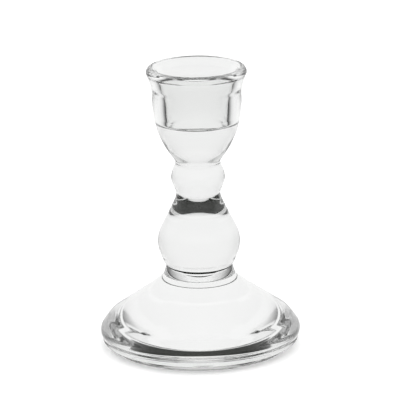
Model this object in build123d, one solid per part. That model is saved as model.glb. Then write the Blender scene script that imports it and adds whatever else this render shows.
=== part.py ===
"""Clear glass candlestick: turned foot, neck collar, pear knop, ball knop and candle cup.

Millimetres, Z up, the foot stands on Z = 0 and the turning axis is Z.
Five gathers of glass meet face to face at flat fused seams.
"""

import os

from build123d import *

os.makedirs("parts", exist_ok=True)

# candle and its seat
candle_d = 22.0
candle_clearance = 0.25
seat_r = candle_d / 2 + candle_clearance
seat_length = 5.0
seat_corner = 2.5
socket_depth = 21.4

# mouth of the socket: a slow throat, then a flare to the crest of the lip
throat_step = 1.15
mouth_flare = 2.35
mouth_drop = 9.6
flare_drop = 2.8
crest_rounding = 0.5
crest_fall = 0.2

# candle cup: wall round the candle, then the rolled lip outside it
cup_h = 36.4
cup_wall = 5.5
cup_r = seat_r + cup_wall
wall_top_drop = 8.9
wall_foot_drop = 10.4
lip_overhang = 2.05
lip_r = cup_r + lip_overhang
lip_h = 3.4
lip_undercut = 0.6
lip_edge_drop = 2.1
lip_crown_inset = 1.2
lip_crown_drop = 0.35
crest_r = cup_r - 0.35

# bowl of the cup, as insets from its wall and heights above its seam
bowl_foot_rise = 2.3
bowl_foot_step = 0.85
bowl_mid_rise = 7.2
bowl_mid_inset = 4.05
bowl_top_rise = 12.9
bowl_top_inset = 1.75

# ball knop, between the two waists
lower_waist_r = 8.27
waist_step = 0.18
upper_waist_r = lower_waist_r + waist_step
ball_swell = 1.78
ball_r = lower_waist_r + ball_swell
ball_h = 12.1
ball_belly_rise = 6.3
ball_fillet_h = 2.0
ball_fillet_low = 0.5
ball_fillet_high = 0.65

# pear knop: round below, straight cone above, small fillet into the waist
neck_r = 12.28
pear_swell = 3.09
pear_r = neck_r + pear_swell
pear_h = 27.2
pear_belly_rise = 9.0
pear_cone_rise = 14.3
pear_cone_inset = 1.4
pear_fillet_h = 2.9
pear_fillet = 0.9

# collar under the pear, tapered, on a small rounded ledge of the foot
collar_h = 4.1
collar_taper = 1.02
band_foot_r = neck_r + collar_taper
band_foot_rise = 0.5
band_top_drop = 0.7
band_top_step = 0.17
root_step = 0.3
collar_r = band_foot_r + root_step

# foot: a straight cone from the root to the shoulder, then a rounded brim
foot_d = 75.0
foot_r = foot_d / 2
foot_h = 27.6
ledge_w = 0.6
ledge_fall = 1.0
ledge_r = collar_r + ledge_w
cone_top_out = 5.4
cone_top_drop = 5.4
shoulder_inset = 2.6
shoulder_rise = 11.5
brim_rise = 6.5
mould_line_rise = 2.8
mould_line_inset = 1.1
rest_inset = 5.3
rest_r = foot_r - rest_inset

# recess in the underside: a chamfered rim, a steep wall and a shallow domed roof
rim_w = 5.5
chamfer_w = 0.6
chamfer_h = 1.6
recess_r = rest_r - rim_w - chamfer_w
recess_draft = 0.7
recess_corner = 0.85
recess_depth = 4.0
roof_dome = 0.8

# seam heights, counted up from the table
collar_z = foot_h
pear_z = collar_z + collar_h
ball_z = pear_z + pear_h
cup_z = ball_z + ball_h
height = cup_z + cup_h
socket_floor_z = height - socket_depth

up = (0, 1)
down = (0, -1)


def turned(*edges):
    """Solid of revolution about Z; the edges close a half section in (radius, z)."""
    section = Plane.XZ * Face(Wire(list(edges)))
    return revolve(section, Axis.Z)


def recess():
    """Edges from the middle of the underside out to the resting ring."""
    crown = (0, recess_depth + roof_dome)
    wall_r = recess_r - recess_draft
    corner_in = (wall_r - recess_corner, recess_depth)
    corner_down = (wall_r, recess_depth - recess_corner)
    wall_foot = (recess_r, chamfer_h)
    return [
        TangentArc(crown, corner_in, tangent=(1, 0)),
        TangentArc(corner_in, corner_down, tangent=(corner_in[0], -2 * roof_dome)),
        Line(corner_down, wall_foot),
        Line(wall_foot, (rest_r - rim_w, 0)),
    ]


def foot():
    root = (collar_r, collar_z)
    ledge = (ledge_r, collar_z - ledge_fall)
    cone_top = (ledge_r + cone_top_out, collar_z - cone_top_drop)
    shoulder = (foot_r - shoulder_inset, shoulder_rise)
    brim = (foot_r, brim_rise)
    mould_line = (foot_r - mould_line_inset, mould_line_rise)
    return turned(
        *recess(),
        Line((rest_r - rim_w, 0), (rest_r, 0)),
        Line((rest_r, 0), mould_line),
        TangentArc(brim, mould_line, tangent=down),
        TangentArc(brim, shoulder, tangent=up),
        Line(shoulder, cone_top),
        TangentArc(cone_top, ledge, tangent=(cone_top[0] - shoulder[0], cone_top[1] - shoulder[1])),
        Line(ledge, root),
        Line(root, (0, collar_z)),
        Line((0, collar_z), (0, recess_depth + roof_dome)),
    )


def neck_collar():
    low = (collar_r, collar_z)
    band_foot = (band_foot_r, collar_z + band_foot_rise)
    band_top = (neck_r + band_top_step, pear_z - band_top_drop)
    high = (neck_r, pear_z)
    return turned(
        Line((0, collar_z), low),
        Line(low, band_foot),
        Line(band_foot, band_top),
        Line(band_top, high),
        Line(high, (0, pear_z)),
        Line((0, pear_z), (0, collar_z)),
    )


def pear_knop():
    low = (neck_r, pear_z)
    belly = (pear_r, pear_z + pear_belly_rise)
    cone_low = (pear_r - pear_cone_inset, pear_z + pear_cone_rise)
    cone_high = (lower_waist_r + pear_fillet, ball_z - pear_fillet_h)
    high = (lower_waist_r, ball_z)
    return turned(
        Line((0, pear_z), low),
        TangentArc(belly, low, tangent=down),
        TangentArc(belly, cone_low, tangent=up),
        Line(cone_low, cone_high),
        TangentArc(high, cone_high, tangent=down),
        Line(high, (0, ball_z)),
        Line((0, ball_z), (0, pear_z)),
    )


def ball_knop():
    low = (lower_waist_r, ball_z)
    fillet_low = (lower_waist_r + ball_fillet_low, ball_z + ball_fillet_h)
    belly = (ball_r, ball_z + ball_belly_rise)
    fillet_high = (upper_waist_r + ball_fillet_high, cup_z - ball_fillet_h)
    high = (upper_waist_r, cup_z)
    return turned(
        Line((0, ball_z), low),
        TangentArc(low, fillet_low, tangent=up),
        TangentArc(belly, fillet_low, tangent=down),
        TangentArc(belly, fillet_high, tangent=up),
        TangentArc(high, fillet_high, tangent=down),
        Line(high, (0, cup_z)),
        Line((0, cup_z), (0, ball_z)),
    )


def cup_outside():
    """Edges from the upper waist, over the bowl and the lip, to the lip's crest."""
    low = (upper_waist_r, cup_z)
    bowl_foot = (upper_waist_r + bowl_foot_step, cup_z + bowl_foot_rise)
    bowl_mid = (cup_r - bowl_mid_inset, cup_z + bowl_mid_rise)
    bowl_top = (cup_r - bowl_top_inset, cup_z + bowl_top_rise)
    wall_low = (cup_r, height - wall_foot_drop)
    wall_high = (cup_r, height - wall_top_drop)
    lip_low = (lip_r - lip_undercut, height - lip_h)
    lip_edge = (lip_r, height - lip_edge_drop)
    lip_crown = (lip_r - lip_crown_inset, height - lip_crown_drop)
    crest = (crest_r, height)
    return [
        TangentArc(low, bowl_foot, tangent=up),
        ThreePointArc(bowl_foot, bowl_mid, bowl_top),
        TangentArc(wall_low, bowl_top, tangent=down),
        Line(wall_low, wall_high),
        TangentArc(wall_high, lip_low, tangent=up),
        TangentArc(lip_edge, lip_low, tangent=down),
        TangentArc(lip_edge, lip_crown, tangent=up),
        TangentArc(crest, lip_crown, tangent=(1, 0)),
    ]


def cup_inside():
    """Edges from the lip's crest down the flared mouth and the candle seat to the floor."""
    crest = (crest_r, height)
    crest_in = (crest_r - crest_rounding, height - crest_fall)
    flare = (seat_r + mouth_flare, height - flare_drop)
    throat = (seat_r + throat_step, height - mouth_drop)
    seat_low = (seat_r, socket_floor_z + seat_corner)
    seat_high = (seat_r, socket_floor_z + seat_corner + seat_length)
    floor_edge = (seat_r - seat_corner, socket_floor_z)
    return [
        TangentArc(crest, crest_in, tangent=(-1, 0)),
        Line(crest_in, flare),
        Line(flare, throat),
        Line(throat, seat_high),
        Line(seat_high, seat_low),
        TangentArc(seat_low, floor_edge, tangent=down),
        Line(floor_edge, (0, socket_floor_z)),
    ]


def candle_cup():
    return turned(
        Line((0, cup_z), (upper_waist_r, cup_z)),
        *cup_outside(),
        *cup_inside(),
        Line((0, socket_floor_z), (0, cup_z)),
    )


parts = {
    "foot": foot,
    "neck_collar": neck_collar,
    "pear_knop": pear_knop,
    "ball_knop": ball_knop,
    "candle_cup": candle_cup,
}

for node, make in parts.items():
    export_step(make(), f"parts/{node}.step")
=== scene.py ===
"""Clear glass candlestick: five turned pieces of one fused glass, on a pale table."""

import math

import bmesh
import bpy
import numpy as np
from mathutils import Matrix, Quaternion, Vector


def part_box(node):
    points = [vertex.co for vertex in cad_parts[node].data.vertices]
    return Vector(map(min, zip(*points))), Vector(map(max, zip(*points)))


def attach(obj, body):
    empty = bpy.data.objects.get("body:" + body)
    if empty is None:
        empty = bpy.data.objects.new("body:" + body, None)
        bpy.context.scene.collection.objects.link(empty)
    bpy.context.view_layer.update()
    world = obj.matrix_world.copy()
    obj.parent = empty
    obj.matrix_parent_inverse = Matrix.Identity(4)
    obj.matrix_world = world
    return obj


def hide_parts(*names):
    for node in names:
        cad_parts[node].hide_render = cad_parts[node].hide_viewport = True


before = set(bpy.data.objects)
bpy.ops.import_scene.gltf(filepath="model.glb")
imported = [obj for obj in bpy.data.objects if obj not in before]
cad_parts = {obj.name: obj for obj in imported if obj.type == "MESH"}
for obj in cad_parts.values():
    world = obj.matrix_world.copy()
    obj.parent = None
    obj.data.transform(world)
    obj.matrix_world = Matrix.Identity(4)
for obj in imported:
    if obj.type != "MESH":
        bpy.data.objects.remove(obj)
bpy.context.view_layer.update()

MM = 0.001

# the lathe: steps round the axis, spacing along a profile, steps in a rounded corner, and the
# radius of the circle that carries a profile round the axis (mm)
SEGMENTS = 240
STEP = 0.4
CORNER_STEPS = 12
GUIDE = 10.0
CREASE_DEGREES = 25

# radii that two neighbours share where they meet (mm)
COLLAR_R = 13.6
NECK_R = 12.28
LOWER_WAIST_R = 8.27
UPPER_WAIST_R = 8.45

# light levels and colours
# painted shade: a near-black colour for the sheets under the foot, standing in for the dark there
PAINTED_SHADE = (0.014, 0.016, 0.013, 1)
BACKDROP = (0.94, 0.94, 0.94, 1)
TABLE_LIGHT = (1.8, 1.8, 1.8, 1)
LIGHT_UNDER_GLASS = (1.5, 1.5, 1.5, 1)
WHITE = (1.0, 1.0, 1.0, 1)


# ---------------------------------------------------------------- profile lines
def smooth_run(stations):
    """A curve of continuous bend through (radius, height) stations."""
    p = np.array(stations, float)
    t = np.r_[0, np.cumsum(np.hypot(*np.diff(p, axis=0).T))]
    h = np.diff(t)
    n = len(p)
    a = np.zeros((n, n))
    b = np.zeros((n, 2))
    a[0, 0] = a[-1, -1] = 1
    for i in range(1, n - 1):
        a[i, i - 1], a[i, i], a[i, i + 1] = h[i - 1], 2 * (h[i - 1] + h[i]), h[i]
        b[i] = 6 * ((p[i + 1] - p[i]) / h[i] - (p[i] - p[i - 1]) / h[i - 1])
    m = np.linalg.solve(a, b)
    out = []
    for s in np.linspace(0, t[-1], max(2, int(t[-1] / STEP) + 1)):
        i = min(max(int(np.searchsorted(t, s)) - 1, 0), n - 2)
        u, v, w = t[i + 1] - s, s - t[i], h[i]
        out.append(
            (m[i] * u**3 + m[i + 1] * v**3) / (6 * w)
            + (p[i] / w - m[i] * w / 6) * u
            + (p[i + 1] / w - m[i + 1] * w / 6) * v
        )
    return [tuple(q) for q in out]


def rounded_run(corners):
    """Straight runs through (radius, height, corner radius) with each corner rounded."""
    out = [corners[0][:2]]
    for before, here, after in zip(corners, corners[1:], corners[2:]):
        a, b, c = (np.array(k[:2], float) for k in (before, here, after))
        u = (a - b) / np.linalg.norm(a - b)
        v = (c - b) / np.linalg.norm(c - b)
        half = math.acos(float(np.clip(u @ v, -1, 1))) / 2
        shorter = min(np.linalg.norm(a - b), np.linalg.norm(c - b))
        reach = min(here[2] / math.tan(half), 0.49 * shorter)
        radius = reach * math.tan(half)
        centre = b + (u + v) / np.linalg.norm(u + v) * radius / math.sin(half)
        start, end = b + u * reach - centre, b + v * reach - centre
        first = math.atan2(start[1], start[0])
        turn = (math.atan2(end[1], end[0]) - first + math.pi) % (2 * math.pi) - math.pi
        for k in range(CORNER_STEPS + 1):
            at = first + turn * k / CORNER_STEPS
            out.append(tuple(centre + radius * np.array((math.cos(at), math.sin(at)))))
    out.append(corners[-1][:2])
    return out


def even(points):
    """The same line with a point at least every STEP, and no doubled points."""
    out = [points[0]]
    for q in points[1:]:
        gap = math.dist(out[-1], q)
        if gap < 1e-4:
            continue
        p, n = out[-1], max(1, math.ceil(gap / STEP))
        out += [(p[0] + (q[0] - p[0]) * k / n, p[1] + (q[1] - p[1]) * k / n) for k in range(1, n + 1)]
    return out


# ---------------------------------------------------------------- materials
def shader_tree(name):
    mat = bpy.data.materials.new(name)
    mat.use_nodes = True
    tree = mat.node_tree
    tree.nodes.clear()
    return mat, tree, tree.nodes.new("ShaderNodeOutputMaterial")


def clear_glass():
    """Pressed soda glass: polished, with the faint ripple that a mould leaves."""
    mat, tree, out = shader_tree("clear_glass")
    body = tree.nodes.new("ShaderNodeBsdfPrincipled")
    body.inputs["Base Color"].default_value = (0.985, 0.99, 0.985, 1)
    body.inputs["Roughness"].default_value = 0.0
    body.inputs["IOR"].default_value = 1.5
    body.inputs["Transmission Weight"].default_value = 1.0
    place = tree.nodes.new("ShaderNodeTexCoord")
    ripple = tree.nodes.new("ShaderNodeTexNoise")
    ripple.inputs["Scale"].default_value = 110.0
    ripple.inputs["Detail"].default_value = 1.0
    bump = tree.nodes.new("ShaderNodeBump")
    bump.inputs["Strength"].default_value = 1.0
    bump.inputs["Distance"].default_value = 0.00002
    tree.links.new(place.outputs["Object"], ripple.inputs["Vector"])
    tree.links.new(ripple.outputs[0], bump.inputs["Height"])
    tree.links.new(bump.outputs[0], body.inputs["Normal"])
    tree.links.new(body.outputs[0], out.inputs["Surface"])
    return mat


def fused_seam():
    """The flat joint between two gathers: one glass, so nothing bends or shines there."""
    mat, tree, out = shader_tree("fused_seam")
    seam = tree.nodes.new("ShaderNodeBsdfTransparent")
    tree.links.new(seam.outputs[0], out.inputs["Surface"])
    return mat


# ---------------------------------------------------------------- the lathe
def lathe():
    """Geometry Nodes: turns a profile about Z and gives the flat seams their own material."""
    tree = bpy.data.node_groups.new("lathe", "GeometryNodeTree")
    face = tree.interface
    face.new_socket("Profile", in_out="INPUT", socket_type="NodeSocketGeometry")
    face.new_socket("Segments", in_out="INPUT", socket_type="NodeSocketInt")
    face.new_socket("Guide Radius", in_out="INPUT", socket_type="NodeSocketFloat")
    face.new_socket("Lower Seam", in_out="INPUT", socket_type="NodeSocketFloat")
    face.new_socket("Upper Seam", in_out="INPUT", socket_type="NodeSocketFloat")
    face.new_socket("Glass", in_out="INPUT", socket_type="NodeSocketMaterial")
    face.new_socket("Seam", in_out="INPUT", socket_type="NodeSocketMaterial")
    face.new_socket("Turned", in_out="OUTPUT", socket_type="NodeSocketGeometry")
    node = tree.nodes.new
    link = tree.links.new
    ins, outs = node("NodeGroupInput"), node("NodeGroupOutput")

    curve = node("GeometryNodeMeshToCurve")
    link(ins.outputs["Profile"], curve.inputs["Mesh"])
    guide = node("GeometryNodeCurvePrimitiveCircle")
    link(ins.outputs["Segments"], guide.inputs["Resolution"])
    link(ins.outputs["Guide Radius"], guide.inputs["Radius"])
    sweep = node("GeometryNodeCurveToMesh")
    link(guide.outputs["Curve"], sweep.inputs["Curve"])
    link(curve.outputs["Curve"], sweep.inputs["Profile Curve"])
    close = node("GeometryNodeMergeByDistance")
    close.inputs["Distance"].default_value = 1e-6
    link(sweep.outputs["Mesh"], close.inputs["Geometry"])

    smooth = node("GeometryNodeSetShadeSmooth")
    link(close.outputs["Geometry"], smooth.inputs["Geometry"])
    angle = node("GeometryNodeInputMeshEdgeAngle")
    crisp = node("FunctionNodeCompare")
    crisp.operation = "GREATER_THAN"
    crisp.inputs[1].default_value = math.radians(CREASE_DEGREES)
    link(angle.outputs["Unsigned Angle"], crisp.inputs[0])
    edges = node("GeometryNodeSetShadeSmooth")
    edges.domain = "EDGE"
    edges.inputs["Shade Smooth"].default_value = False
    link(smooth.outputs["Geometry"], edges.inputs["Geometry"])
    link(crisp.outputs["Result"], edges.inputs["Selection"])

    glass = node("GeometryNodeSetMaterial")
    link(edges.outputs["Geometry"], glass.inputs["Geometry"])
    link(ins.outputs["Glass"], glass.inputs["Material"])
    place = node("GeometryNodeInputPosition")
    parts = node("ShaderNodeSeparateXYZ")
    link(place.outputs[0], parts.inputs[0])
    on_seam = None
    for name in ("Lower Seam", "Upper Seam"):
        near = node("FunctionNodeCompare")
        near.operation = "EQUAL"
        near.inputs["Epsilon"].default_value = 2e-6
        link(parts.outputs["Z"], near.inputs[0])
        link(ins.outputs[name], near.inputs[1])
        if on_seam is None:
            on_seam = near.outputs["Result"]
        else:
            either = node("FunctionNodeBooleanMath")
            either.operation = "OR"
            link(on_seam, either.inputs[0])
            link(near.outputs["Result"], either.inputs[1])
            on_seam = either.outputs["Boolean"]
    seam = node("GeometryNodeSetMaterial")
    link(glass.outputs["Geometry"], seam.inputs["Geometry"])
    link(on_seam, seam.inputs["Selection"])
    link(ins.outputs["Seam"], seam.inputs["Material"])
    whole = node("GeometryNodeRealizeInstances")
    link(seam.outputs["Geometry"], whole.inputs["Geometry"])
    link(whole.outputs["Geometry"], outs.inputs["Turned"])
    return tree


GLASS, SEAM, LATHE = clear_glass(), fused_seam(), lathe()


def face_outwards(mesh):
    """Point every face away from the glass."""
    work = bmesh.new()
    work.from_mesh(mesh)
    bmesh.ops.recalc_face_normals(work, faces=work.faces)
    work.to_mesh(mesh)
    work.free()


def turned_piece(node, profile, seams=(None, None)):
    """A closed piece of glass for one CAD node, turned from its (radius, height) profile in mm."""
    line = even(profile)
    mesh = bpy.data.meshes.new(node + "_profile")
    verts = [((r - GUIDE) * MM, -z * MM, 0) for r, z in line]
    mesh.from_pydata(verts, [(i, i + 1) for i in range(len(verts) - 1)], [])
    rough = bpy.data.objects.new(node + "_profile", mesh)
    bpy.context.scene.collection.objects.link(rough)
    mod = rough.modifiers.new("lathe", "NODES")
    mod.node_group = LATHE
    low, high = (-1.0 if s is None else s * MM for s in seams)
    values = {
        "Segments": SEGMENTS,
        "Guide Radius": GUIDE * MM,
        "Lower Seam": low,
        "Upper Seam": high,
        "Glass": GLASS,
        "Seam": SEAM,
    }
    for item in LATHE.interface.items_tree:
        if item.in_out == "INPUT" and item.name in values:
            mod[item.identifier] = values[item.name]
    bpy.context.view_layer.update()
    turned = rough.evaluated_get(bpy.context.evaluated_depsgraph_get())
    done = bpy.data.meshes.new_from_object(turned)
    bpy.data.objects.remove(rough)
    face_outwards(done)
    done.name = node + "_glass"
    piece = bpy.data.objects.new(node + "_glass", done)
    bpy.context.scene.collection.objects.link(piece)
    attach(piece, "root")
    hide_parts(node)
    return piece


def heights(node):
    """Bottom and top of a CAD node in mm."""
    low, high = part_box(node)
    return low.z / MM, high.z / MM


# ---------------------------------------------------------------- the pieces
def foot():
    """From the domed roof of the recess, out over the resting ring and the brim, up the cone."""
    base, top = heights("foot")
    line = rounded_run([
        (0.0, base + 4.8, 0),
        (12.7, base + 4.6, 20.0),
        (25.4, base + 4.0, 1.2),
        (26.1, base + 1.6, 0.4),
        (26.7, base, 0.3),
        (32.2, base, 0.3),
        (36.4, base + 2.8, 0.3),
        (37.75, base + 7.1, 3.4),
        (34.2, base + 12.0, 5.6),
        (19.6, base + 22.2, 9.0),
        (14.2, base + 26.6, 4.0),
        (COLLAR_R, top, 0),
    ])
    return turned_piece("foot", line + [(0.0, top)], (None, top))


def neck_collar():
    """A tapered band with a small root and a small step under the pear."""
    base, top = heights("neck_collar")
    line = rounded_run([
        (COLLAR_R, base, 0),
        (13.3, base + 0.5, 0.5),
        (12.45, top - 0.7, 0.3),
        (NECK_R, top, 0),
    ])
    return turned_piece("neck_collar", [(0.0, base)] + line + [(0.0, top)], (base, top))


def pear_knop():
    """Round below, a straight cone above."""
    base, top = heights("pear_knop")
    line = smooth_run([
        (NECK_R, base),
        (13.09, base + 0.9),
        (13.75, base + 2.4),
        (14.7, base + 4.8),
        (15.24, base + 7.1),
        (15.37, base + 9.0),
        (15.13, base + 11.1),
        (14.5, base + 13.2),
        (13.5, base + 15.5),
        (12.3, base + 17.8),
        (11.1, base + 20.2),
        (9.95, base + 22.6),
        (8.84, base + 25.0),
        (8.4, base + 26.3),
        (LOWER_WAIST_R, top),
    ])
    return turned_piece("pear_knop", [(0.0, base)] + line + [(0.0, top)], (base, top))


def ball_knop():
    """A ball between the two waists."""
    base, top = heights("ball_knop")
    line = smooth_run([
        (LOWER_WAIST_R, base),
        (8.34, base + 0.8),
        (8.69, base + 1.9),
        (9.15, base + 3.0),
        (9.6, base + 4.2),
        (9.95, base + 5.4),
        (10.05, base + 6.4),
        (9.97, base + 7.4),
        (9.75, base + 8.4),
        (9.36, base + 9.5),
        (8.87, base + 10.7),
        (8.5, base + 11.6),
        (UPPER_WAIST_R, top),
    ])
    return turned_piece("ball_knop", [(0.0, base)] + line + [(0.0, top)], (base, top))


def candle_cup():
    """The bowl and wall outside, then over the lip and down the socket to its floor."""
    base, top = heights("candle_cup")
    bowl_and_wall = smooth_run([
        (UPPER_WAIST_R, base),
        (8.62, base + 0.7),
        (9.06, base + 1.6),
        (9.87, base + 2.8),
        (10.73, base + 4.0),
        (12.1, base + 6.15),
        (13.3, base + 8.5),
        (14.25, base + 10.7),
        (14.98, base + 12.9),
        (15.57, base + 15.2),
        (16.0, base + 17.4),
        (16.3, base + 19.7),
        (16.55, base + 21.9),
        (16.68, base + 24.2),
        (16.72, top - 10.0),
    ])
    lip_and_socket = rounded_run([
        (16.83, top - 7.6, 0),
        (18.04, top - 3.7, 0.3),
        (18.93, top - 1.85, 1.8),
        (17.75, top - 0.12, 3.4),
        (16.25, top - 0.07, 0.3),
        (13.6, top - 2.8, 0.3),
        (12.4, top - 9.6, 6.0),
        (11.25, top - 19.0, 0.6),
        (11.15, top - 21.4, 2.5),
        (0.0, top - 21.4, 0),
    ])
    return turned_piece("candle_cup", [(0.0, base)] + bowl_and_wall + lip_and_socket, (base, None))


foot()
neck_collar()
pear_knop()
ball_knop()
candle_cup()


# ---------------------------------------------------------------- table and light
def ramp(tree, source, low, high, stops):
    """A smooth grey scale over the source value."""
    span = tree.nodes.new("ShaderNodeMapRange")
    span.inputs["From Min"].default_value = low
    span.inputs["From Max"].default_value = high
    tree.links.new(source, span.inputs["Value"])
    shade = tree.nodes.new("ShaderNodeValToRGB")
    tree.links.new(span.outputs[0], shade.inputs[0])
    marks = shade.color_ramp.elements
    while len(marks) > 1:
        marks.remove(marks[0])
    marks[0].position = (stops[0][0] - low) / (high - low)
    marks[0].color = (stops[0][1],) * 3 + (1,)
    for at, value in stops[1:]:
        marks.new((at - low) / (high - low)).color = (value,) * 3 + (1,)
    return shade.outputs[0]


def plain_object(name, verts, faces):
    """A new object with a plain mesh, in the scene."""
    mesh = bpy.data.meshes.new(name)
    mesh.from_pydata(verts, [], faces)
    thing = bpy.data.objects.new(name, mesh)
    bpy.context.scene.collection.objects.link(thing)
    return thing


def table():
    """A white table, not seen through the glass or in it."""
    half = 3.0
    corners = [(-half, -half, 0), (half, -half, 0), (half, half, 0), (-half, half, 0)]
    top = plain_object("table_top", corners, [(0, 1, 2, 3)])
    mat, tree, out = shader_tree("white_table")
    paint = tree.nodes.new("ShaderNodeBsdfDiffuse")
    paint.inputs["Color"].default_value = (0.8, 0.8, 0.8, 1)
    tree.links.new(paint.outputs[0], out.inputs["Surface"])
    top.data.materials.append(mat)
    top.visible_transmission = False
    top.visible_glossy = False


def shade_under_foot():
    """Painted shade under the foot: dark sheets seen only through the glass.

    A flat patch takes what the glass turns back; a flared skirt takes what goes through at a slant,
    so from above the foot stays clear.
    """
    count = 96
    inset, gap = 0.0002, 0.0001
    skirt_r, skirt_depth = 0.2, 0.13

    def ring(radius, height):
        turns = [math.tau * k / count for k in range(count)]
        return [(radius * math.cos(turn), radius * math.sin(turn), height) for turn in turns]

    low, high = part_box("foot")
    rim = ring(high.x - inset, low.z - gap)
    sides = [(k, (k + 1) % count, count + (k + 1) % count, count + k) for k in range(count)]
    shapes = {
        "shade_patch": (rim, [tuple(range(count))]),
        "shade_skirt": (rim + ring(skirt_r, low.z - skirt_depth), sides),
    }
    for name, (verts, faces) in shapes.items():
        piece = plain_object(name, verts, faces)
        mat, tree, out = shader_tree(name)
        # painted shade: the patch and skirt glow a near-black colour that stands in for the dark under
        # the foot
        dim = tree.nodes.new("ShaderNodeEmission")
        dim.inputs["Color"].default_value = PAINTED_SHADE
        clear = tree.nodes.new("ShaderNodeBsdfTransparent")
        either = tree.nodes.new("ShaderNodeMixShader")
        if name == "shade_patch":
            path = tree.nodes.new("ShaderNodeLightPath")
            tree.links.new(path.outputs["Glossy Depth"], either.inputs[0])
            tree.links.new(clear.outputs[0], either.inputs[1])
            tree.links.new(dim.outputs[0], either.inputs[2])
        else:
            side = tree.nodes.new("ShaderNodeNewGeometry")
            tree.links.new(side.outputs["Backfacing"], either.inputs[0])
            tree.links.new(dim.outputs[0], either.inputs[1])
            tree.links.new(clear.outputs[0], either.inputs[2])
        tree.links.new(either.outputs[0], out.inputs["Surface"])
        piece.data.materials.append(mat)
        piece.visible_camera = False
        piece.visible_diffuse = False
        piece.visible_shadow = False


def studio():
    """Bright-field light: a glowing backdrop and ceiling, and a dark room in front.

    Angles are in degrees: swing is measured from the backdrop round to the front, climb from level up.
    """
    world = bpy.data.worlds.new("studio")
    bpy.context.scene.world = world
    world.use_nodes = True
    world.cycles.sampling_method = "NONE"
    tree = world.node_tree
    tree.nodes.clear()
    node, link = tree.nodes.new, tree.links.new

    def maths(operation, *values):
        n = node("ShaderNodeMath")
        n.operation = operation
        for socket, value in zip(n.inputs, values):
            if isinstance(value, (int, float)):
                socket.default_value = value
            else:
                link(value, socket)
        return n.outputs[0]

    def mix(share, a, b):
        n = node("ShaderNodeMix")
        n.data_type = "RGBA"
        for socket, value in zip((n.inputs[0], n.inputs[6], n.inputs[7]), (share, a, b)):
            if isinstance(value, tuple):
                socket.default_value = value
            else:
                link(value, socket)
        return n.outputs[2]

    way = node("ShaderNodeTexCoord")
    axes = node("ShaderNodeSeparateXYZ")
    link(way.outputs["Generated"], axes.inputs[0])
    climb = maths("DEGREES", maths("ARCSINE", axes.outputs["Z"]))
    swing = maths("DEGREES", maths("ABSOLUTE", maths("ARCTAN2", axes.outputs["X"], axes.outputs["Y"])))
    backdrop = [(0, 1.0), (30, 0.97), (45, 0.75), (60, 0.06), (80, 0.04), (180, 0.04)]
    overhead = [(0, 0.96), (60, 0.93), (90, 0.85), (110, 0.6), (180, 0.6)]
    wall = ramp(tree, swing, 0, 180, backdrop)
    ceiling = ramp(tree, swing, 0, 180, overhead)
    behind = ramp(tree, swing, 0, 180, [(0, 1.0), (70, 1.0), (110, 0.0), (180, 0.0)])
    raised = maths("ADD", climb, maths("MULTIPLY", behind, 12.0))
    lift = ramp(tree, raised, -90, 110, [(-90, 0.0), (5, 0.0), (25, 1.0), (110, 1.0)])
    room = mix(lift, wall, ceiling)
    path = node("ShaderNodeLightPath")
    turned_back = maths("GREATER_THAN", path.outputs["Glossy Depth"], 0.5)
    through = mix(turned_back, BACKDROP, room)
    on_table = maths("GREATER_THAN", path.outputs["Diffuse Depth"], 0.5)
    under_glass = maths("GREATER_THAN", path.outputs["Transmission Depth"], 0.5)
    table_light = mix(under_glass, TABLE_LIGHT, LIGHT_UNDER_GLASS)
    light = mix(on_table, through, table_light)
    light = mix(path.outputs["Is Camera Ray"], light, WHITE)
    sky = node("ShaderNodeBackground")
    link(light, sky.inputs["Color"])
    out = node("ShaderNodeOutputWorld")
    link(sky.outputs[0], out.inputs["Surface"])


def camera():
    """A long lens a little above the lip, tilted down and a touch off level."""
    distance, height, aside = 1.3, 0.43498, 0.0006
    look_down, roll = math.radians(16.25), math.radians(-0.92)
    lens = bpy.data.cameras.new("camera")
    lens.sensor_width = 36
    lens.lens = 327.56
    lens.clip_start, lens.clip_end = 0.01, 100
    eye = bpy.data.objects.new("camera", lens)
    bpy.context.scene.collection.objects.link(eye)
    bpy.context.scene.camera = eye
    eye.location = (aside, -distance, height)
    eye.rotation_mode = "QUATERNION"
    tilt = Quaternion((1, 0, 0), math.radians(90) - look_down)
    eye.rotation_quaternion = tilt @ Quaternion((0, 0, 1), roll)


table()
shade_under_foot()
studio()
camera()
scene = bpy.context.scene
scene.view_settings.view_transform = "Standard"
scene.cycles.max_bounces = 24
scene.cycles.glossy_bounces = 16
scene.cycles.transmission_bounces = 24
scene.cycles.transparent_max_bounces = 32
